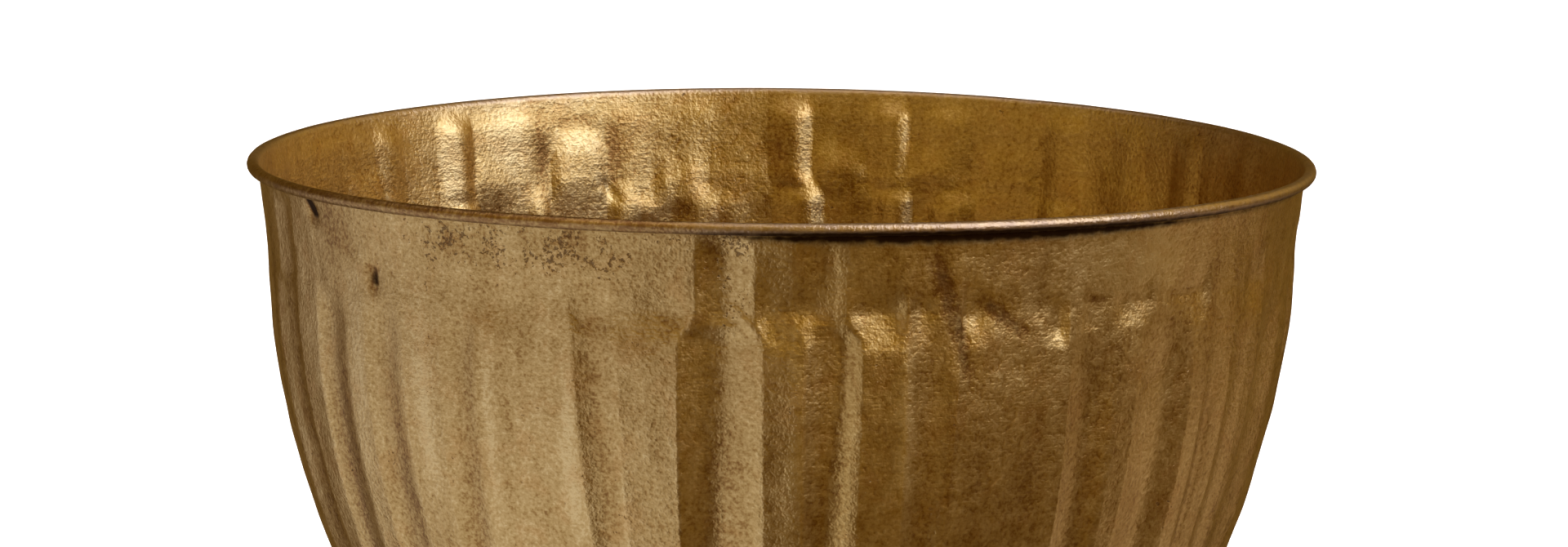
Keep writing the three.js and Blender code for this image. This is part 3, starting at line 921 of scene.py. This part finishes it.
# ---- Stage ----
FLOOR_REACH = 12  # half of the floor's side, in metres


def add_floor():
    n = Nodes("pale_floor")
    tone = n.mix(n.spread(n.noise(3, 2.0), 0.3, 0.7), (0.86, 0.86, 0.855, 1), (0.89, 0.89, 0.885, 1))
    n.set(Base_Color=tone, Roughness=0.9)
    corners = [(x * FLOOR_REACH, y * FLOOR_REACH, 0) for x, y in ((-1, -1), (1, -1), (1, 1), (-1, 1))]
    mesh = bpy.data.meshes.new("floor")
    mesh.from_pydata(corners, [], [(0, 1, 2, 3)])
    mesh.materials.append(n.material)
    floor = bpy.data.objects.new("floor", mesh)
    bpy.context.scene.collection.objects.link(floor)
    floor.visible_glossy = False


def add_softbox(name, azimuth, elevation, distance, width, height, power, colour, aim=(0, 0, 0.2)):
    light = bpy.data.lights.new(name, "AREA")
    light.shape = "RECTANGLE"
    light.size = width
    light.size_y = height
    light.energy = power
    light.color = colour
    box = bpy.data.objects.new(name, light)
    a, e = math.radians(azimuth), math.radians(elevation)
    way = Vector((math.cos(a) * math.cos(e), math.sin(a) * math.cos(e), math.sin(e)))
    box.location = Vector(aim) + way * distance
    box.rotation_mode = "QUATERNION"
    box.rotation_quaternion = way.to_track_quat("Z", "Y")
    bpy.context.scene.collection.objects.link(box)
    return box


ROOM_COLOUR = (0.144, 0.075, 0.008)  # the dim, warm room that the brass reflects
# Azimuth, half width in azimuth, lowest and highest elevation, and softness, in degrees; colour; strength.
# A half width from 180 on goes all round, and an elevation beyond 90 or -90 leaves that edge out.
GLOWS = [
    (-163, 54, -100, 2, 12, (1.0, 1.0, 1.10), 0.46),
    (-163, 54, -100, -20, 10, (1.0, 1.0, 0.95), 0.25),
    (-160, 60, 42, 100, 12, (1.0, 0.85, 0.75), 0.40),
    (-31, 27, 11, 72, 7, (1.0, 1.09, 1.45), 2.25),
    (-30, 80, -26, 10, 8, (1.0, 0.62, 0.10), 0.045),
    (-54, 13, -100, 5, 6, (1.0, 0.62, 0.10), 0.09),
    (26, 15, -100, -16, 5, (1.0, 0.84, 0.75), 0.42),
    (-60, 120, 4, 70, 14, (1.0, 0.68, 0.08), 0.28),
    (-66, 12, 2, 60, 10, (1.0, 0.74, 0.22), 0.36),
    (28, 32, 2, 50, 14, (1.0, 0.72, 0.36), 0.20),
    (-60, 360, 62, 100, 10, (1.0, 0.86, 0.80), 0.47),
]


BACKDROP_COLOUR = (0.94, 0.94, 0.935, 1)


def sine(degrees):
    return math.sin(math.radians(degrees))


def cosine(degrees):
    return math.cos(math.radians(degrees))


def add_world():
    """A dim, warm room with soft glows, which the brass reflects. The camera sees a pale backdrop instead."""
    world = bpy.data.worlds.new("studio")
    world.use_nodes = True
    world.cycles.sampling_method = "NONE"
    tree = world.node_tree
    tree.nodes.clear()

    def add(kind, **settings):
        node = tree.nodes.new(kind)
        for key, value in settings.items():
            setattr(node, key, value)
        return node

    def vector_math(operation, a, b=None):
        node = add("ShaderNodeVectorMath", operation=operation)
        tree.links.new(a, node.inputs[0])
        if b is not None:
            node.inputs[1].default_value = b
        return node.outputs["Value" if operation == "DOT_PRODUCT" else "Vector"]

    def step(value, low, high):
        node = add("ShaderNodeMapRange", interpolation_type="SMOOTHSTEP")
        tree.links.new(value, node.inputs["Value"])
        node.inputs["From Min"].default_value = low
        node.inputs["From Max"].default_value = high
        return node.outputs[0]

    def product(a, b):
        node = add("ShaderNodeMath", operation="MULTIPLY")
        tree.links.new(a, node.inputs[0])
        tree.links.new(b, node.inputs[1])
        return node.outputs[0]

    way = add("ShaderNodeTexCoord").outputs["Generated"]
    height = vector_math("DOT_PRODUCT", way, (0, 0, 1))
    level = vector_math("NORMALIZE", vector_math("MULTIPLY", way, (1, 1, 0)))
    light = None
    for azimuth, half, lowest, highest, soft, colour, strength in GLOWS:
        edges = []
        if half < 180:
            towards = vector_math("DOT_PRODUCT", level, (cosine(azimuth), sine(azimuth), 0))
            edges.append((towards, cosine(half + soft), cosine(half - soft)))
        if highest < 90:
            edges.append((height, sine(highest + soft), sine(highest - soft)))
        if lowest > -90:
            edges.append((height, sine(lowest - soft), sine(lowest + soft)))
        inside = step(*edges[0])
        for edge in edges[1:]:
            inside = product(inside, step(*edge))
        mix = add("ShaderNodeMix", data_type="RGBA", blend_type="ADD")
        tree.links.new(inside, mix.inputs["Factor"])
        if light is None:
            mix.inputs["A"].default_value = (*ROOM_COLOUR, 1)
        else:
            tree.links.new(light, mix.inputs["A"])
        mix.inputs["B"].default_value = (*(c * strength for c in colour), 1)
        light = mix.outputs["Result"]
    room = add("ShaderNodeBackground")
    tree.links.new(light, room.inputs["Color"])
    backdrop = add("ShaderNodeBackground")
    backdrop.inputs["Color"].default_value = BACKDROP_COLOUR
    path = add("ShaderNodeLightPath")
    seen = add("ShaderNodeMixShader")
    output = add("ShaderNodeOutputWorld")
    tree.links.new(path.outputs["Is Camera Ray"], seen.inputs[0])
    tree.links.new(room.outputs[0], seen.inputs[1])
    tree.links.new(backdrop.outputs[0], seen.inputs[2])
    tree.links.new(seen.outputs[0], output.inputs[0])
    bpy.context.scene.world = world


CAMERA_DISTANCE = 2.3  # from the middle of the rim
CAMERA_ELEVATION = 7.4  # of the line from the middle of the rim to the camera
CAMERA_PITCH = 8.356  # below the horizon
CAMERA_YAW = 0.028
CAMERA_ROLL = 0.5
FOCAL_LENGTH = 156.7
SENSOR_WIDTH = 36


def add_camera():
    data = bpy.data.cameras.new("camera")
    data.lens = FOCAL_LENGTH
    data.sensor_width = SENSOR_WIDTH
    camera = bpy.data.objects.new("camera", data)
    e = math.radians(CAMERA_ELEVATION)
    camera.location = (0, -CAMERA_DISTANCE * math.cos(e), RIM_Z * MM + CAMERA_DISTANCE * math.sin(e))
    level = Euler((math.radians(90 - CAMERA_PITCH), 0, math.radians(-CAMERA_YAW)))
    roll = Euler((0, 0, math.radians(CAMERA_ROLL)))
    camera.rotation_euler = (level.to_matrix() @ roll.to_matrix()).to_euler()
    bpy.context.scene.collection.objects.link(camera)
    bpy.context.scene.camera = camera


add_floor()
top = add_softbox("overhead", -90, 88, 3.5, 6, 6, 420, (1, 1, 1))
top.visible_glossy = False
add_world()
add_camera()
bpy.context.scene.view_settings.view_transform = "Standard"
